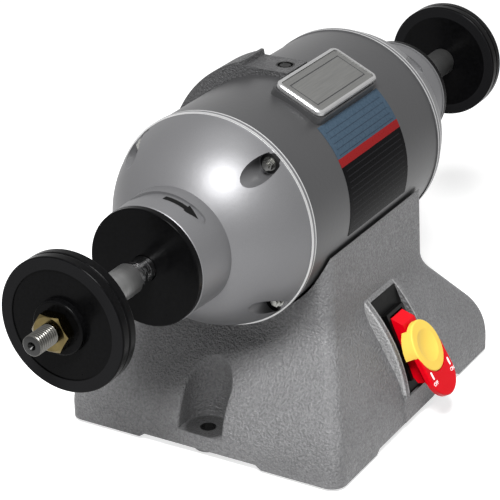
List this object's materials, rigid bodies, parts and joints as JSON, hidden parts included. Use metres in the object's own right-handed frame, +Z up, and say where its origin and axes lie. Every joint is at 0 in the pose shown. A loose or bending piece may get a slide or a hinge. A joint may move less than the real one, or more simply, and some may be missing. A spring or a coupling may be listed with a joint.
{
  "type": "dental polishing lathe",
  "caption": "Double-ended polishing lathe: domed motor on a flared cast pedestal, wheel flanges on both spindle ends, paddle switch with a lock-out key.",
  "frame": {"origin": "centre of the bench-bolt holes, on the underside of the pedestal's bolt pads", "axes": "+X along the spindle towards the right end as the operator sees it, -Y towards the operator, +Z up"},
  "size_m": [0.711, 0.2924, 0.2925],
  "materials": {
    "cast_grey": "rough hammered grey paint",
    "silver_paint": "smooth silver-grey paint",
    "gloss_black": "gloss black",
    "bright_steel": "ground and polished",
    "ground_steel": "matte ground",
    "yellow_zinc": "yellow zinc plate",
    "dark_steel": "oiled steel",
    "rubber_black": "matte",
    "galvanised": "zinc plated sheet",
    "plastic_black": "matte",
    "plate_black": "satin black",
    "badge_silver": "bright bevelled rim",
    "badge_face": "bare satin plate",
    "label_film": "printed film with a red band, no text",
    "laminations": "blued laminations",
    "copper_wire": "varnished copper",
    "cast_aluminium": "as cast",
    "red_plastic": "gloss red",
    "yellow_plastic": "gloss yellow"
  },
  "bodies": {
    "lathe": {"pedestal": "cast_grey", "rubber_feet": "rubber_black", "foot_screws": "dark_steel", "bottom_cover": "galvanised", "bottom_cover_screws": "dark_steel", "cable_gland": "plastic_black", "capacitor": "plastic_black", "capacitor_strap": "galvanised", "motor_barrel": "silver_paint", "motor_mount_bolts": "dark_steel", "right_end_bell": "silver_paint", "left_end_bell": "silver_paint", "right_bearing_cover": "gloss_black", "left_bearing_cover": "gloss_black", "through_bolts": "dark_steel", "through_bolt_nuts": "dark_steel", "through_bolt_washers": "dark_steel", "rear_strap": "cast_grey", "rear_strap_screws": "dark_steel", "badge_bezel": "badge_silver", "badge_plate": "badge_face", "rating_label": "label_film", "stator_core": "laminations", "stator_windings": "copper_wire", "start_switch_plate": "galvanised", "bearing_outer_rings": "bright_steel", "wave_washer": "bright_steel", "switch_plate": "plate_black", "switch_plate_screws": "dark_steel", "switch_body": "plastic_black", "switch_pivot_pin": "bright_steel"},
    "spindle": {"spindle_shaft": "bright_steel", "rotor_core": "laminations", "rotor_end_rings": "cast_aluminium", "bearing_inner_rings": "bright_steel", "start_switch_governor": "galvanised", "right_spacer_sleeve": "ground_steel", "left_spacer_sleeve": "ground_steel", "right_inner_flange": "gloss_black", "left_inner_flange": "gloss_black"},
    "left_balls": {"left_bearing_balls": "bright_steel", "left_ball_cage": "bright_steel"},
    "right_balls": {"right_bearing_balls": "bright_steel", "right_ball_cage": "bright_steel"},
    "left_flange": {"left_outer_flange": "gloss_black"},
    "right_flange": {"right_outer_flange": "gloss_black"},
    "left_nut": {"left_spindle_nut": "yellow_zinc"},
    "right_nut": {"right_spindle_nut": "yellow_zinc"},
    "paddle": {"switch_paddle": "red_plastic"},
    "key": {"switch_key": "yellow_plastic"}
  },
  "joints": [
    {"name": "spindle_spin", "type": "hinge", "parent": "lathe", "child": "spindle", "pos_m": [0, 0, 0.193], "axis": [1, 0, 0], "continuous": true},
    {"name": "left_cage_spin", "type": "hinge", "parent": "lathe", "child": "left_balls", "pos_m": [-0.195, 0, 0.193], "axis": [1, 0, 0], "continuous": true},
    {"name": "right_cage_spin", "type": "hinge", "parent": "lathe", "child": "right_balls", "pos_m": [0.195, 0, 0.193], "axis": [1, 0, 0], "continuous": true},
    {"name": "left_flange_slide", "type": "slide", "parent": "spindle", "child": "left_flange", "axis": [-1, 0, 0], "range_m": [0, 0.0173]},
    {"name": "right_flange_slide", "type": "slide", "parent": "spindle", "child": "right_flange", "axis": [1, 0, 0], "range_m": [0, 0.0173]},
    {"name": "left_nut_turn", "type": "hinge", "parent": "left_flange", "child": "left_nut", "pos_m": [-0.33, 0, 0.193], "axis": [1, 0, 0], "range_deg": [0, 2700]},
    {"name": "right_nut_turn", "type": "hinge", "parent": "right_flange", "child": "right_nut", "pos_m": [0.33, 0, 0.193], "axis": [1, 0, 0], "range_deg": [0, 2700]},
    {"name": "paddle_rock", "type": "hinge", "parent": "lathe", "child": "paddle", "pos_m": [0, -0.11337, 0.06115], "axis": [1, 0, 0], "range_deg": [0, 9]},
    {"name": "key_pull", "type": "slide", "parent": "paddle", "child": "key", "axis": [0, -0.8536, 0.521], "range_m": [0, 0.025]}
  ],
  "couplings": [
    {"joint": "left_cage_spin", "follows": "spindle_spin", "ratio": 0.3839},
    {"joint": "right_cage_spin", "follows": "spindle_spin", "ratio": 0.3839},
    {"joint": "left_nut_turn", "follows": "left_flange_slide", "rad_per_m": 2721.1},
    {"joint": "right_nut_turn", "follows": "right_flange_slide", "rad_per_m": 2721.1}
  ]
}
